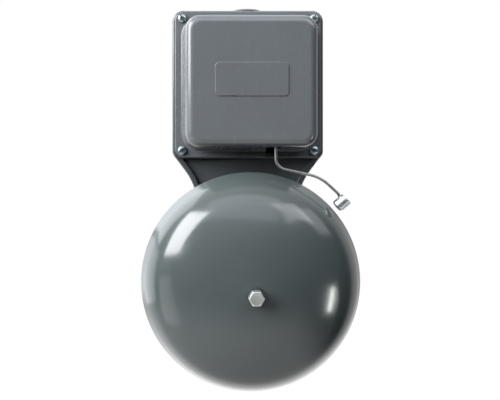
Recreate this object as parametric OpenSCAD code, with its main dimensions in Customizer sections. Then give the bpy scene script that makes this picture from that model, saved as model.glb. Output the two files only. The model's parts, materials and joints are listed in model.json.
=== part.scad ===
// Vibrating fire alarm bell: a cast base box with a neck, a screwed cover, a pressed
// gong on a post, and an electromagnet that swings a bent wire striker.
// Frame: the wall is the plane y = 0 and the front faces -Y, +X is right, +Z is up.
// The origin is the centre of the four wall screws on the back of the base box.
// Depths are measured forward from the wall, so a depth d lies at y = -d.

/* [Base] */
// Width of the base box
base_w = 111; // [109:1:114]
// Height of the base box
base_h = 109; // [108:1:112]
// Depth from the wall to the front rim of the box
base_depth = 26; // [26:1:28]
// Corner radius of the box
base_corner = 8; // [6:1:10]
// Thickness of the back wall of the box
back_wall = 3; // [2.5:0.5:4]
// Thickness of the side walls of the box
side_wall = 4; // [3.5:0.5:5]
// Distance from the box centre down to the gong axis
gong_drop = 139; // [137:1:145]
// Spacing of the four wall screw holes, across and up
wall_pitch = 78; // [76:1:80]
// Diameter of each wall screw hole
wall_hole_d = 5.2; // [4.5:0.1:6]

/* [Neck] */
// Angle of the shoulder below the box, from the vertical
shoulder_angle = 37; // [33:1:40]
// Angle of the lower arm, from the vertical
arm_angle = 12; // [10:1:14]
// Depth from the wall to the crest of the side lips
lip_depth = 24.5; // [23.5:0.5:25]
// Width of the side lips
lip_w = 4; // [3.5:0.5:5]
// Depth from the wall to the face between the lips
neck_face = 21.5; // [20.5:0.5:22]

/* [Conduit hub] */
// Outer diameter of the hub on the top wall
hub_d = 24.4; // [23:0.2:25]
// Height of the hub above the top wall
hub_h = 1.8; // [1.6:0.2:3]
// Tapping diameter of the conduit thread
hub_bore_d = 18.2; // [17:0.1:19]

/* [Cover] */
// Width and height of the cover at its foot
cover_w = 95.2; // [94:0.2:96]
// Distance from the base rim to the front face of the cover
cover_depth = 35; // [34.5:0.5:38]
// Wall thickness of the cover
cover_wall = 2; // [1.6:0.2:2.4]
// Taper of each cover wall over its height
cover_draft = 2.2; // [1.6:0.2:3]
// Radius of the edge around the front face
cover_edge = 6; // [5:0.5:7]
// Width and height of the screw flange of the cover
flange_w = 107; // [106:0.5:108]
// Thickness of the screw flange
flange_t = 2; // [1.6:0.2:2.4]
// Spacing of the four cover screws, across and up
cover_pitch = 96.4; // [96:0.2:97]

/* [Gong] */
// Diameter of the gong at its rim
gong_d = 152.4; // [150:0.2:154]
// Depth of the gong from rim to crown
gong_depth = 38; // [37:0.5:40]
// Thickness of the gong metal
gong_t = 2.4; // [2:0.2:3]
// Distance from the base rim forward to the gong rim
gong_gap = 24; // [22:0.5:25]
// Slope of the gong side wall, from its axis
gong_slope = 24; // [18:1:26]
// Radius of the gong shoulder
gong_shoulder = 36; // [30:1:38]
// Radius of the gong crown
gong_crown = 130; // [120:5:150]

/* [Striker] */
// Diameter of the striker wire
rod_d = 2; // [1.8:0.1:2.2]
// Diameter of the hammer
hammer_d = 8.9; // [8.5:0.1:9.5]
// Length of the hammer, crown included
hammer_l = 9.6; // [9:0.1:10.5]
// Gap between hammer and gong with the bell at rest
rest_gap = 2.3; // [2.2:0.1:2.6]

/* [Hidden] */
$fn = 64;
fit = 0.06;

// ---- colours
enamel = [0.40, 0.42, 0.43];
zinc = [0.78, 0.80, 0.82];
steel = [0.55, 0.56, 0.58];
brass = [0.80, 0.66, 0.32];
bronze = [0.72, 0.50, 0.30];
copper = [0.62, 0.28, 0.14];
phenolic = [0.10, 0.10, 0.11];
fibre = [0.45, 0.14, 0.10];
red_pvc = [0.62, 0.08, 0.07];

// ---- derived sizes: base and neck
rim_z = -base_h / 2;
bend_r = 6;
bend_z = -49;
shoulder_len = 12.8;
flare_r = 50;
shoulder_top = [
    base_w / 2 - bend_r * (1 - cos(shoulder_angle)),
    bend_z - bend_r * sin(shoulder_angle)
];
shoulder_end = shoulder_top - shoulder_len * [sin(shoulder_angle), cos(shoulder_angle)];
flare_centre = shoulder_end + flare_r * [cos(shoulder_angle), -sin(shoulder_angle)];
flare_end = flare_centre + flare_r * [-cos(arm_angle), sin(arm_angle)];
foot_r = flare_end.x * cos(arm_angle) - (gong_drop + flare_end.y) * sin(arm_angle);
neck_skin = 3;
neck_wall = 3;
cover_tap_d = 3.3;
cover_boss_d = 10;
hub_depth = base_depth / 2;
hub_chamfer = 1.4;
hub_taper = 2;
foot_boss_d = 26;
foot_boss_depth = 24;
foot_hole_z = -gong_drop - 18;
pad_d = 10;
pad_depth = 8;

// ---- derived sizes: cover
cover_face = base_depth + cover_depth;
cover_corner = 12;
face_corner = 9;
nameplate = [50, 23];
nameplate_h = 0.5;
nameplate_z = 1;
slot_w = 8;
slot_top = -cover_w / 2 + 8;
head_d = 6.2;

// ---- derived sizes: gong
rim_depth = base_depth + gong_gap;
crown_depth = rim_depth + gong_depth;
bolt_hole_d = 5.2;
post_d = 14;
bolt_af = 8.75;

// ---- derived sizes: electromagnet
axis_depth = 44;
coil_z = 14.5;
pole_x = 9;
yoke_x = -26;
yoke_t = 4;
yoke_h = 52;
core_d = 9;
bobbin_d = 23.6;
winding_d = 22;
bobbin_wall = 0.8;
bobbin_flange = 1.5;
bobbin_end = pole_x - 1.4;
plate_t = 2;
plate_front = pad_depth + plate_t;
plate_holes = [[-27, 34], [28, 34], [-8, -21], [28, -21]];

// ---- derived sizes: armature and its pivot
air_gap = 1.2;
armature_t = 3.6;
armature_w = 16;
armature_x = pole_x + air_gap;
armature_back = armature_x + armature_t;
armature_foot = -36;
pivot = [armature_x + armature_t / 2, 33];
knuckle_d = 8.4;
knuckle_l = 17.4;
pin_d = 3;
pin_fit = 0.05;
ear_t = 2;
ear_front = axis_depth + 9;
ear_back = axis_depth - 11;
web_z = 38.5;
clip_t = 0.8;

// ---- derived sizes: contacts and spring
contact_z = -6;
blade_t = 0.4;
blade_w = 8;
blade_set = 2.4;
button_d = 4;
button_t = 1.3;
button_x = armature_back + blade_set + blade_t;
contact_post_x = 27;
sheet_t = 1.5;
spring_x = 29;
spring_shelf = 14;
spring_shelf_t = 2;
spring_d = 6;
spring_wire = 0.8;
spring_turns = 6.5;
tail_under = pivot.y - armature_t / 2;

// ---- derived sizes: striker
rod_depth = rim_depth + 2;
rod_x = armature_back + 3.5;
slot_x = rod_x - 0.5;
clamp_h = 12;
clamp_w = 7;
rod_top = armature_foot + 9;
strike_angle = 41.2;
hammer_crown = 1.7;
hammer_front = 5.6;
rod_reach = gong_d / 2 + rest_gap + hammer_front;
hammer_at = [rod_reach * cos(strike_angle), -gong_drop + rod_reach * sin(strike_angle)];

// ---- derived sizes: terminals
block_x = -41;
block_w = 12;
block_h = 44;
block_t = 9;
rib_t = 1.6;
rib_h = 3;
terminal_z = [8, -8];
block_screw_z = [19.4, -19.4];
terminal_seat = back_wall + block_t;
lead_d = 1.4;

// ---- positions of small screws, as [x, z] unless a single axis is named
yoke_holes = [[-20, 10], [-20, -10]];
pivot_holes = [[8, 31], [16, 31]];
spring_holes = [[25, 20], [31, 20]];
contact_holes = [[21, -2], [21, -10]];
rivet_z = [20, 14];
clamp_screw_z = [armature_foot + 3, armature_foot + clamp_h - 3];
clamp_screw_depth = axis_depth - 2;

// ======== shared shapes ========

// A flat outline drawn in x and z, extruded forward from one depth to another
module slab(from, to) {
    translate([0, -from, 0])
        rotate([90, 0, 0])
            linear_extrude(to - from)
                children();
}

// Places children with their own +Z pointing out of the wall, at x, z and a depth
module forward(x, z, depth) {
    translate([x, -depth, z])
        rotate([90, 0, 0])
            children();
}

// Places children with their own +Z pointing to +X, at x, z and a depth
module rightward(x, z, depth) {
    translate([x, -depth, z])
        rotate([0, 90, 0])
            children();
}

// A box given by its limits in x, in depth and in z
module block(x, depth, z) {
    translate([x[0], -depth[1], z[0]])
        cube([x[1] - x[0], depth[1] - depth[0], z[1] - z[0]]);
}

// Lower and upper limit of a stretch, from its middle and its length
function span(middle, length) = [middle - length / 2, middle + length / 2];

// A rectangle with true round corners, centred on the origin
module rounded_rect(w, h, r) {
    square([w - 2 * r, h], center = true);
    square([w, h - 2 * r], center = true);
    for (sx = [-1, 1], sz = [-1, 1])
        translate([sx * (w / 2 - r), sz * (h / 2 - r)])
            circle(r);
}

// Four copies on a square pattern
module on_square(pitch) {
    for (sx = [-1, 1], sz = [-1, 1])
        translate([sx * pitch / 2, 0, sz * pitch / 2])
            children();
}

// A slotted pan-head screw: the head rises along +Z and the shank goes down
module pan_screw(head, head_h, shank, length, slot = 0.9) {
    chamfer = head_h * 0.3;
    difference() {
        union() {
            cylinder(h = head_h - chamfer, d = head);
            translate([0, 0, head_h - chamfer])
                cylinder(h = chamfer, d1 = head, d2 = head - 2 * chamfer);
        }
        translate([-head, -slot / 2, head_h * 0.55])
            cube([2 * head, slot, head_h]);
    }
    translate([0, 0, -length])
        cylinder(h = length, d = shank);
}

// A flat ring
module ring(outer, inner, h) {
    difference() {
        cylinder(h = h, d = outer);
        translate([0, 0, -1])
            cylinder(h = h + 2, d = inner);
    }
}

// Points along an arc, from one angle to another
function arc(centre, r, a0, a1, steps) = [
    for (i = [0:steps])
        let (a = a0 + (a1 - a0) * i / steps)
            centre + r * [cos(a), sin(a)]
];

// Smooth points through hand-picked ones, as a Catmull-Rom curve
function smooth(p, steps) = concat([
    for (i = [0:len(p) - 2], s = [0:steps - 1])
        let (
            t = s / steps,
            a = p[max(i - 1, 0)],
            b = p[i],
            c = p[i + 1],
            d = p[min(i + 2, len(p) - 1)]
        )
            0.5 * (2 * b + (c - a) * t + (2 * a - 5 * b + 4 * c - d) * t * t
                + (3 * b - a - 3 * c + d) * t * t * t)
], [p[len(p) - 1]]);

function unit(v) = v / norm(v);

// A round tube swept along a list of points. The side direction must never be along it.
module tube(points, d, side, sides = 8) {
    last = len(points) - 1;
    rings = [
        for (i = [0:last])
            let (
                t = unit(points[min(i + 1, last)] - points[max(i - 1, 0)]),
                u = unit(cross(t, side)),
                v = cross(t, u)
            )
                for (k = [0:sides - 1])
                    points[i] + d / 2 * (cos(360 * k / sides) * u + sin(360 * k / sides) * v)
    ];
    walls = [
        for (i = [0:last - 1], k = [0:sides - 1])
            let (n = (k + 1) % sides)
                each [
                    [i * sides + k, (i + 1) * sides + k, (i + 1) * sides + n],
                    [i * sides + k, (i + 1) * sides + n, i * sides + n]
                ]
    ];
    ends = [
        [for (k = [0:sides - 1]) k],
        [for (k = [sides - 1:-1:0]) last * sides + k]
    ];
    polyhedron(rings, concat(walls, ends));
}

// ======== base ========

// Right-hand edge of the neck, from the box side down to the lowest point of the foot
function neck_side(inset) = concat(
    arc([base_w / 2 - bend_r, bend_z], bend_r - inset, 0, -shoulder_angle, 6),
    arc(flare_centre, flare_r + inset, 180 - shoulder_angle, 180 - arm_angle, 10),
    arc([0, -gong_drop], foot_r - inset, -arm_angle, -90, 14)
);

// The neck's outline, cut off level with a height
module neck_outline(inset, top) {
    side = neck_side(inset);
    intersection() {
        polygon(concat(side, [for (i = [len(side) - 2:-1:0]) [-side[i].x, side[i].y]]));
        translate([-base_w, -2 * gong_drop])
            square([2 * base_w, 2 * gong_drop + top]);
    }
}

module base_walls() {
    slab(0, base_depth)
        rounded_rect(base_w, base_h, base_corner);
    slab(0, base_depth)
        intersection() {
            neck_outline(0, bend_z);
            translate([-base_w, rim_z])
                square([2 * base_w, base_h]);
        }
    slab(0, lip_depth)
        neck_outline(0, rim_z + 1);
    translate([0, -hub_depth, -rim_z - 1])
        cylinder(h = hub_h + 1 - hub_chamfer, d = hub_d);
    translate([0, -hub_depth, -rim_z + hub_h - hub_chamfer])
        cylinder(h = hub_chamfer, d1 = hub_d, d2 = hub_d - 2 * hub_taper);
}

module base_hollows() {
    slab(back_wall, base_depth + 1)
        rounded_rect(base_w - 2 * side_wall, base_h - 2 * side_wall, base_corner - side_wall + 1);
    slab(neck_face, base_depth + 1)
        neck_outline(lip_w, rim_z);
    slab(-1, neck_face - neck_skin)
        neck_outline(neck_wall, rim_z);
}

module base_bosses() {
    on_square(cover_pitch)
        forward(0, 0, back_wall - 1)
            cylinder(h = base_depth - back_wall + 1, d = cover_boss_d);
    for (p = plate_holes)
        forward(p.x, p.y, back_wall - 1)
            cylinder(h = pad_depth - back_wall + 1, d = pad_d);
    forward(0, -gong_drop, 0)
        cylinder(h = foot_boss_depth, d = foot_boss_d);
    forward(0, foot_hole_z, 0)
        cylinder(h = neck_face - 1, d = 11);
}

module base_housing() {
    color(enamel)
        difference() {
            union() {
                difference() {
                    base_walls();
                    base_hollows();
                }
                base_bosses();
            }
            on_square(cover_pitch)
                forward(0, 0, back_wall + 6)
                    cylinder(h = base_depth, d = cover_tap_d);
            on_square(wall_pitch)
                forward(0, 0, -1)
                    cylinder(h = back_wall + 2, d = wall_hole_d);
            for (p = plate_holes)
                forward(p.x, p.y, back_wall - 1)
                    cylinder(h = pad_depth, d = 2.9);
            for (z = block_screw_z)
                forward(block_x, z, 1)
                    cylinder(h = back_wall, d = 2.4);
            forward(0, -gong_drop, -1)
                cylinder(h = foot_boss_depth + 2, d = 5.2);
            forward(0, -gong_drop, -1)
                cylinder(h = 13, d = 12);
            forward(0, foot_hole_z, -1)
                cylinder(h = neck_face + 2, d = wall_hole_d);
            translate([0, -hub_depth, -rim_z - side_wall - 1])
                cylinder(h = side_wall + hub_h + 2, d = hub_bore_d);
        }
}

// ======== cover ========

// One closed form of the cover, drawn smaller by an inset, from the base rim forward
module cover_form(inset, from) {
    foot = cover_w / 2 - cover_corner;
    face = cover_w / 2 - cover_draft - face_corner;
    edge = cover_edge - inset;
    hull() {
        on_square(2 * foot)
            forward(0, 0, from)
                cylinder(h = 0.5, r = cover_corner - inset, $fn = 48);
        on_square(2 * face)
            forward(0, 0, cover_face - inset - edge)
                rotate_extrude($fn = 48)
                    intersection() {
                        translate([face_corner - inset - edge, 0])
                            circle(edge, $fn = 40);
                        square([face_corner, edge]);
                    }
    }
}

module cover() {
    color(enamel)
        difference() {
            union() {
                cover_form(0, base_depth + 0.5);
                slab(base_depth, base_depth + flange_t)
                    rounded_rect(flange_w, flange_w, base_corner - 1);
                slab(cover_face - 1, cover_face + nameplate_h)
                    translate([0, nameplate_z])
                        rounded_rect(nameplate.x, nameplate.y, 3);
            }
            cover_form(cover_wall, base_depth - 1);
            on_square(cover_pitch)
                forward(0, 0, base_depth - 1)
                    cylinder(h = flange_t + 2, d = 4.6);
            block(span(slot_x, slot_w), [base_depth - 1, rod_depth], [-flange_w, slot_top]);
            translate([slot_x, -rod_depth, -flange_w])
                cylinder(h = flange_w + slot_top, d = slot_w);
        }
}

module cover_screws() {
    color(zinc)
        on_square(cover_pitch)
            forward(0, 0, base_depth + flange_t)
                pan_screw(head_d, 2.4, cover_tap_d - fit, 12);
}

// ======== gong and its fixings ========

// Where the shoulder circle meets both the side wall and the crown, for a wall moved
// inward by an inset. The profile runs in radius and in height above the rim.
gong_wall_dir = [-sin(gong_slope), cos(gong_slope)];
gong_wall_in = [-cos(gong_slope), -sin(gong_slope)];
gong_centre = [0, gong_depth - gong_crown];
gong_a = [gong_d / 2, 0] + gong_shoulder * gong_wall_in - gong_centre;
gong_b = gong_a * gong_wall_dir;
gong_c = gong_a * gong_a - pow(gong_crown - gong_shoulder, 2);
gong_t_up = -gong_b + sqrt(gong_b * gong_b - gong_c);
shoulder_centre = [gong_d / 2, 0] + gong_shoulder * gong_wall_in + gong_t_up * gong_wall_dir;
crown_angle = atan2(shoulder_centre.y - gong_centre.y, shoulder_centre.x);

function gong_line(inset) = concat(
    [[gong_d / 2, 0] + inset * gong_wall_in + inset * tan(gong_slope) * gong_wall_dir],
    arc(shoulder_centre, gong_shoulder - inset, gong_slope, crown_angle, 16),
    [for (i = [1:14])
        let (a = crown_angle + (90 - crown_angle) * i / 14)
            gong_centre + (gong_crown - inset) * [cos(a), sin(a)]]
);

module gong() {
    inner = gong_line(gong_t);
    outer = gong_line(0);
    color(enamel)
        forward(0, -gong_drop, rim_depth)
            difference() {
                rotate_extrude($fn = 128)
                    polygon(concat(
                        [for (p = outer) [max(p.x, 0), p.y]],
                        [for (i = [len(inner) - 1:-1:0]) [max(inner[i].x, 0), inner[i].y]]
                    ));
                cylinder(h = 2 * gong_depth, d = bolt_hole_d);
            }
}

seat_t = 1.2;
gong_hollow = gong_crown - gong_t;
seat_play = gong_hollow - sqrt(pow(gong_hollow, 2) - pow(post_d / 2, 2)) + fit / 4;
post_top = crown_depth - gong_t - seat_t - seat_play;
post_tap_d = 4.2;
post_tap_l = 12;
post_foot_d = 20;
washer_t = 0.9;
lock_t = 1.2;

module gong_post() {
    color(zinc)
        forward(0, -gong_drop, foot_boss_depth)
            difference() {
                union() {
                    cylinder(h = post_top - foot_boss_depth, d = post_d);
                    cylinder(h = 6, d = post_foot_d);
                }
                translate([0, 0, -1])
                    cylinder(h = post_tap_l + 1, d = post_tap_d);
                translate([0, 0, post_top - foot_boss_depth - post_tap_l])
                    cylinder(h = post_tap_l + 1, d = post_tap_d);
            }
}

module post_screw() {
    color(zinc)
        translate([0, -12, -gong_drop])
            rotate([-90, 0, 0])
                pan_screw(9, 3.4, post_tap_d - fit, 20, 1.2);
}

module seat_washer() {
    color(fibre)
        forward(0, -gong_drop, post_top)
            ring(post_d, bolt_hole_d, seat_t);
}

module gong_washer() {
    color(zinc)
        forward(0, -gong_drop, crown_depth)
            ring(12, bolt_hole_d, washer_t);
}

module lock_washer() {
    color(zinc)
        forward(0, -gong_drop, crown_depth + washer_t)
            difference() {
                ring(8.6, bolt_hole_d, lock_t);
                rotate(40)
                    translate([2, -0.5, -1])
                        cube([6, 1, 4]);
            }
}

module gong_bolt() {
    head_h = 5.6;
    corner = bolt_af / cos(30);
    seat = crown_depth + washer_t + lock_t;
    color(zinc)
        forward(0, -gong_drop, seat) {
            intersection() {
                cylinder(h = head_h, d = corner, $fn = 6);
                union() {
                    cylinder(h = head_h - 0.6, d = corner + 1);
                    translate([0, 0, head_h - 0.6])
                        cylinder(h = 0.6, d1 = corner, d2 = bolt_af - 0.6);
                }
            }
            translate([0, 0, post_top - seat - 10])
                cylinder(h = seat - post_top + 10, d = post_tap_d - fit);
        }
}

// ======== plate and electromagnet ========

module mechanism_plate() {
    color(zinc)
        difference() {
            slab(pad_depth, plate_front)
                translate([1, 7])
                    rounded_rect(66, 66, 4);
            for (p = plate_holes)
                forward(p.x, p.y, pad_depth - 1)
                    cylinder(h = 4, d = 3.6);
            for (p = yoke_holes)
                forward(p.x, p.y, pad_depth - 1)
                    cylinder(h = 4, d = 3);
            for (p = contact_holes)
                forward(p.x, p.y, pad_depth - 1)
                    cylinder(h = 4, d = 4 + fit);
            for (p = concat(pivot_holes, spring_holes))
                forward(p.x, p.y, pad_depth - 1)
                    cylinder(h = 4, d = 2.5);
        }
}

module plate_screws() {
    color(zinc)
        for (p = plate_holes)
            forward(p.x, p.y, plate_front)
                pan_screw(6, 2.2, 2.9 - fit, 6);
}

module magnet_yoke() {
    color(steel)
        difference() {
            union() {
                block([yoke_x - yoke_t, yoke_x], [plate_front, axis_depth + 8], span(0, yoke_h));
                block([yoke_x - 1, yoke_x + 12], [plate_front, plate_front + 3], span(0, 36));
            }
            for (z = [-coil_z, coil_z])
                rightward(yoke_x - yoke_t - 1, z, axis_depth)
                    cylinder(h = yoke_t + 2, d = 4.2);
            for (p = yoke_holes)
                forward(p.x, p.y, plate_front - 1)
                    cylinder(h = 5, d = 3.6);
        }
}

module yoke_screws() {
    color(zinc)
        for (p = yoke_holes)
            forward(p.x, p.y, plate_front + 3)
                pan_screw(6, 2.2, 3 - fit, 6.5);
}

module core(z) {
    color(steel)
        difference() {
            rightward(yoke_x, z, axis_depth)
                cylinder(h = pole_x - yoke_x, d = core_d);
            rightward(yoke_x - 1, z, axis_depth)
                cylinder(h = 11, d = 4);
        }
}

module upper_core() {
    core(coil_z);
}

module lower_core() {
    core(-coil_z);
}

module core_screws() {
    color(zinc)
        for (z = [-coil_z, coil_z])
            translate([yoke_x - yoke_t, -axis_depth, z])
                rotate([0, -90, 0])
                    pan_screw(7, 2.8, 4 - fit, 11);
}

module bobbin(z) {
    start = yoke_x + 0.2;
    color(phenolic)
        difference() {
            union() {
                rightward(start, z, axis_depth)
                    cylinder(h = bobbin_end - start, d = core_d + 0.2 + 2 * bobbin_wall);
                for (x = [start, bobbin_end - bobbin_flange])
                    rightward(x, z, axis_depth)
                        cylinder(h = bobbin_flange, d = bobbin_d);
            }
            rightward(start - 1, z, axis_depth)
                cylinder(h = bobbin_end - start + 2, d = core_d + 0.1);
        }
}

module upper_bobbin() {
    bobbin(coil_z);
}

module lower_bobbin() {
    bobbin(-coil_z);
}

module winding(z) {
    start = yoke_x + 0.2 + bobbin_flange;
    color(copper)
        rightward(start, z, axis_depth)
            ring(winding_d, core_d + 0.2 + 2 * bobbin_wall, bobbin_end - bobbin_flange - start);
}

module upper_winding() {
    winding(coil_z);
}

module lower_winding() {
    winding(-coil_z);
}

// ======== pivot and armature ========

module pivot_bracket() {
    x = [pivot.x - 6, pivot.x + 6];
    top = [web_z, web_z + ear_t];
    color(zinc)
        difference() {
            union() {
                block(x, [plate_front, ear_front + ear_t], top);
                block(x, [plate_front, plate_front + ear_t], [26, web_z + ear_t]);
                for (d = [ear_back, ear_front]) {
                    block(x, [d, d + ear_t], [pivot.y, web_z + 1]);
                    forward(pivot.x, pivot.y, d)
                        cylinder(h = ear_t, r = 6);
                }
            }
            forward(pivot.x, pivot.y, ear_back - 1)
                cylinder(h = ear_front - ear_back + 4, d = pin_d + fit);
            for (p = pivot_holes)
                forward(p.x, p.y, plate_front - 1)
                    cylinder(h = 4, d = 3);
        }
}

module pivot_bracket_screws() {
    color(zinc)
        for (p = pivot_holes)
            forward(p.x, p.y, plate_front + ear_t)
                pan_screw(5, 1.8, 2.5 - fit, 5);
}

pin_start = ear_back - 1.7;
pin_end = ear_front + ear_t + 1.7;

module pivot_pin() {
    color(steel)
        difference() {
            forward(pivot.x, pivot.y, pin_start)
                cylinder(h = pin_end - pin_start, d = pin_d);
            for (d = [ear_back - 0.1 - clip_t, ear_front + ear_t + 0.1])
                forward(pivot.x, pivot.y, d)
                    ring(pin_d + 2, pin_d - 0.8, clip_t);
        }
}

module pin_clips() {
    color(steel)
        for (d = [ear_back - 0.1 - clip_t, ear_front + ear_t + 0.1])
            forward(pivot.x, pivot.y, d + clip_t * 0.1)
                difference() {
                    ring(6, pin_d - 0.7, clip_t * 0.8);
                    translate([-1.05, -4, -1])
                        cube([2.1, 4, 3]);
                }
}

module armature() {
    across = span(axis_depth, armature_w);
    color(steel)
        difference() {
            union() {
                block([armature_x, armature_back], across, [armature_foot, pivot.y]);
                block([pivot.x, spring_x + 5], span(axis_depth, armature_w - 4), span(pivot.y, armature_t));
                forward(pivot.x, pivot.y, axis_depth - knuckle_l / 2)
                    cylinder(h = knuckle_l, d = knuckle_d);
            }
            forward(pivot.x, pivot.y, axis_depth - knuckle_l)
                cylinder(h = 2 * knuckle_l, d = pin_d + 2 * pin_fit);
            for (z = rivet_z)
                rightward(armature_x - 1, z, axis_depth)
                    cylinder(h = armature_t + 2, d = 2 + fit);
            for (z = clamp_screw_z)
                rightward(armature_x - 1, z, clamp_screw_depth)
                    cylinder(h = armature_t + 2, d = 2.5);
        }
}

// ======== contacts ========

module contact_blade() {
    top = 24;
    bend = 9;
    foot = contact_z - 5;
    x = armature_back;
    color(bronze)
        difference() {
            translate([0, -axis_depth + blade_w / 2, 0])
                rotate([90, 0, 0])
                    linear_extrude(blade_w)
                        polygon([
                            [x, top], [x + blade_t, top], [x + blade_t, bend],
                            [x + blade_set + blade_t, contact_z + 4], [x + blade_set + blade_t, foot],
                            [x + blade_set, foot], [x + blade_set, contact_z + 4], [x, bend]
                        ]);
            for (z = rivet_z)
                rightward(x - 1, z, axis_depth)
                    cylinder(h = 3, d = 2 + fit);
        }
}

module blade_rivets() {
    color(brass)
        for (z = rivet_z) {
            rightward(armature_x - 0.5, z, axis_depth)
                cylinder(h = armature_t + blade_t + 0.5, d = 2);
            rightward(armature_back + blade_t, z, axis_depth)
                cylinder(h = 1, d1 = 3.6, d2 = 2.4);
            rightward(armature_x - 0.5, z, axis_depth)
                cylinder(h = 0.5, d = 3.4);
        }
}

module moving_contact() {
    color(steel)
        rightward(button_x, contact_z, axis_depth) {
            cylinder(h = button_t - 0.4, d = button_d);
            translate([0, 0, button_t - 0.4])
                cylinder(h = 0.4, d1 = button_d, d2 = button_d - 1);
        }
}

sheet_x = [16, 34];
sheet_z = [-16, 3];
bracket_back = plate_front + sheet_t;

module contact_insulator() {
    color(fibre)
        difference() {
            union() {
                block(sheet_x, [plate_front, bracket_back], sheet_z);
                for (p = contact_holes)
                    forward(p.x, p.y, pad_depth)
                        cylinder(h = plate_t + 0.5, d = 4);
            }
            for (p = contact_holes)
                forward(p.x, p.y, pad_depth - 1)
                    cylinder(h = 8, d = 2.5);
        }
}

module contact_bracket() {
    color(brass)
        difference() {
            union() {
                block([17, contact_post_x + 2], [bracket_back, bracket_back + 1.6], [-13, 1]);
                block([contact_post_x, contact_post_x + 2], [bracket_back, axis_depth + 6], [-12, 0]);
            }
            rightward(contact_post_x - 1, contact_z, axis_depth)
                cylinder(h = 4, d = 3.4 + fit);
            for (p = contact_holes)
                forward(p.x, p.y, bracket_back - 1)
                    cylinder(h = 4, d = 3);
        }
}

module contact_bracket_screws() {
    color(brass)
        for (p = contact_holes)
            forward(p.x, p.y, bracket_back + 1.6)
                pan_screw(5, 1.8, 2.5 - fit, 6);
}

contact_stop = button_x + button_t + 0.02;

module contact_screw() {
    head_x = contact_post_x + 9;
    color(brass) {
        rightward(contact_stop, contact_z, axis_depth)
            cylinder(h = 1.2, d1 = 1.6, d2 = 3.4);
        rightward(contact_stop + 1.2, contact_z, axis_depth)
            cylinder(h = head_x - contact_stop - 1.2, d = 3.4);
        rightward(head_x, contact_z, axis_depth)
            difference() {
                cylinder(h = 3, d = 7);
                translate([-5, -0.5, 2])
                    cube([10, 1, 2]);
            }
    }
}

module contact_lock_nut() {
    color(brass)
        rightward(contact_post_x + 2, contact_z, axis_depth)
            difference() {
                cylinder(h = 2.4, d = 7, $fn = 6);
                translate([0, 0, -1])
                    cylinder(h = 5, d = 3.4 + fit);
            }
}

// ======== return spring ========

module spring_bracket() {
    x = [spring_x - 7, spring_x + 5];
    color(zinc)
        difference() {
            union() {
                block(x, [plate_front, axis_depth + 6], [spring_shelf - spring_shelf_t, spring_shelf]);
                block(x, [plate_front, plate_front + 2], [spring_shelf - 1, spring_shelf + 12]);
            }
            translate([spring_x, -axis_depth, spring_shelf - 4])
                cylinder(h = 6, d = 4 + fit);
            for (p = spring_holes)
                forward(p.x, p.y, plate_front - 1)
                    cylinder(h = 4, d = 3);
        }
}

module spring_bracket_screws() {
    color(zinc)
        for (p = spring_holes)
            forward(p.x, p.y, plate_front + 2)
                pan_screw(5, 1.8, 2.5 - fit, 5);
}

module spring_adjuster() {
    under = spring_shelf - spring_shelf_t;
    color(brass)
        translate([spring_x, -axis_depth, 0]) {
            translate([0, 0, under - 5])
                cylinder(h = 2.5, d = 7);
            translate([0, 0, under - 2.5])
                cylinder(h = spring_shelf - under + 5.5, d = 4);
        }
}

function coil_spring(r, z0, z1, turns) = [
    for (i = [0:turns * 16])
        let (a = 360 * i / 16)
            [r * cos(a), r * sin(a), z0 + (z1 - z0) * i / (turns * 16)]
];

module return_spring() {
    z0 = spring_shelf + spring_wire / 2 + 0.05;
    z1 = tail_under - spring_wire / 2 - 0.05;
    color(steel)
        translate([spring_x, -axis_depth, 0])
            tube(coil_spring(spring_d / 2, z0, z1, spring_turns), spring_wire, [0, 0, 1]);
}

// ======== striker ========

module rod_clamp() {
    color(brass)
        difference() {
            block(
                [armature_back, armature_back + clamp_w],
                [axis_depth - 6, rod_depth + 4],
                [armature_foot, armature_foot + clamp_h]
            );
            translate([rod_x, -rod_depth, armature_foot - 1])
                cylinder(h = rod_top - armature_foot + 1.1, d = rod_d + fit);
            rightward(rod_x, armature_foot + clamp_h / 2, rod_depth)
                cylinder(h = clamp_w, d = 2.5);
            for (z = clamp_screw_z)
                rightward(armature_back - 1, z, clamp_screw_depth)
                    cylinder(h = clamp_w + 2, d = 2.5);
        }
}

// One screw bears on the wire, and two hold the clamp to the armature
module clamp_screws() {
    out = armature_back + clamp_w;
    color(zinc) {
        rightward(out, armature_foot + clamp_h / 2, rod_depth)
            pan_screw(4.4, 1.8, 2.5 - fit, out - rod_x - rod_d / 2 - fit);
        for (z = clamp_screw_z)
            rightward(out, z, clamp_screw_depth)
                pan_screw(4.4, 1.8, 2.5 - fit, clamp_w + armature_t);
    }
}

// Path of the wire in x and z: each step is [straight length, bend radius, turn in degrees],
// and a heading of 0 points straight down, growing toward +X
rod_steps = [[0, 8, 77.4], [17.8, 28, -30.4], [7.9, 5, -21.4]];

function heading(a) = [sin(a), -cos(a)];

function bend(p, a, r, turn, steps) =
    let (
        s = sign(turn),
        centre = p + s * r * [cos(a), sin(a)]
    )
        [for (i = [1:steps])
            let (b = a + turn * i / steps)
                centre - s * r * [cos(b), sin(b)]];

function rod_path(p, a, i) =
    i == len(rod_steps)
        ? [[hammer_at.x, hammer_at.y]]
        : let (
            step = rod_steps[i],
            q = p + step[0] * heading(a),
            curve = bend(q, a, step[1], step[2], 8)
        )
            concat(step[0] > 0 ? [q] : [], curve, rod_path(curve[7], a + step[2], i + 1));

rod_bend_z = -52.95;
rod_start = [[rod_x, rod_top], [rod_x, rod_bend_z]];
rod_line = concat(rod_start, rod_path([rod_x, rod_bend_z], 0, 0));
rod_back = rod_line[len(rod_line) - 2] - hammer_at;

module striker_rod() {
    color(zinc)
        tube([for (p = rod_line) [p.x, -rod_depth, p.y]], rod_d, [0, 1, 0], 16);
}

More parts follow.
